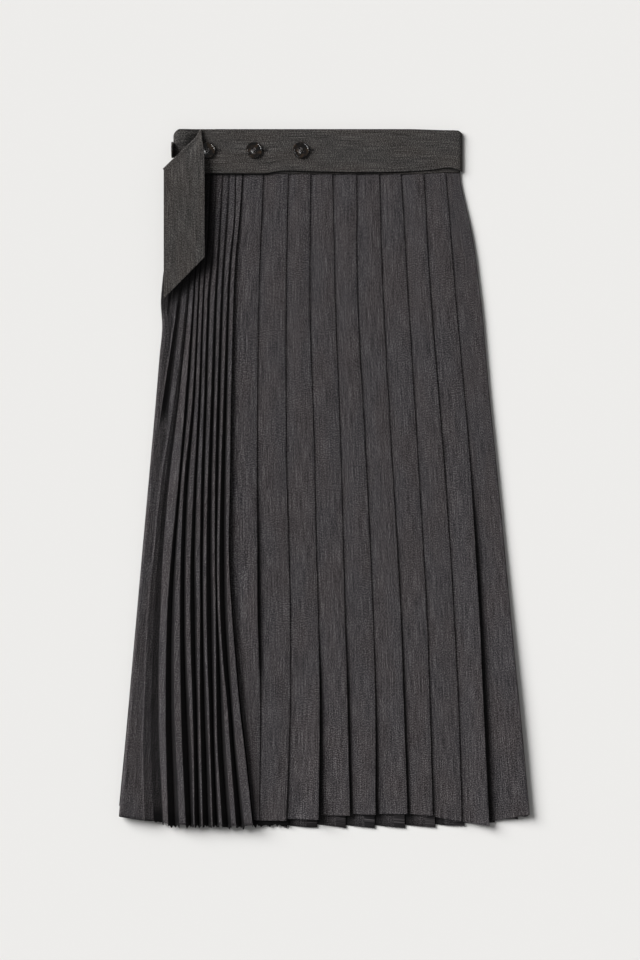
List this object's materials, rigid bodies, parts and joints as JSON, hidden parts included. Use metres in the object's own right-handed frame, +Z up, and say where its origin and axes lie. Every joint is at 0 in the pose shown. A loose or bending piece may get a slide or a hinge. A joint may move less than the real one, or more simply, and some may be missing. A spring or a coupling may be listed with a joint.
{
  "type": "pleated midi skirt, laid flat",
  "caption": "Skirt laid flat: wide knife pleats beside a fan of narrow accordion ribs, under a buttoned band with a folded wrap belt.",
  "frame": {"origin": "on the surface that the skirt lies on, under the middle of its bounding box", "axes": "+X the wearer's left, +Y from the hem to the waist, +Z up off the surface, front of the skirt facing up"},
  "size_m": [0.4723, 0.802, 0.0193],
  "materials": {
    "suiting": "charcoal wool suiting, matt, with fine upright slubs",
    "band": "the same charcoal wool suiting with its slubs along the band, pressed",
    "horn": "polished dark horn, glossy",
    "thread": "charcoal polyester sewing thread"
  },
  "bodies": {
    "root": {"accordion_panel": "suiting", "front_panel": "suiting", "back_panel": "suiting", "waistband_front": "band", "waistband_back": "band", "wrap_belt": "band", "button_1": "horn", "button_2": "horn", "button_3": "horn", "button_4": "horn"}
  },
  "joints": []
}
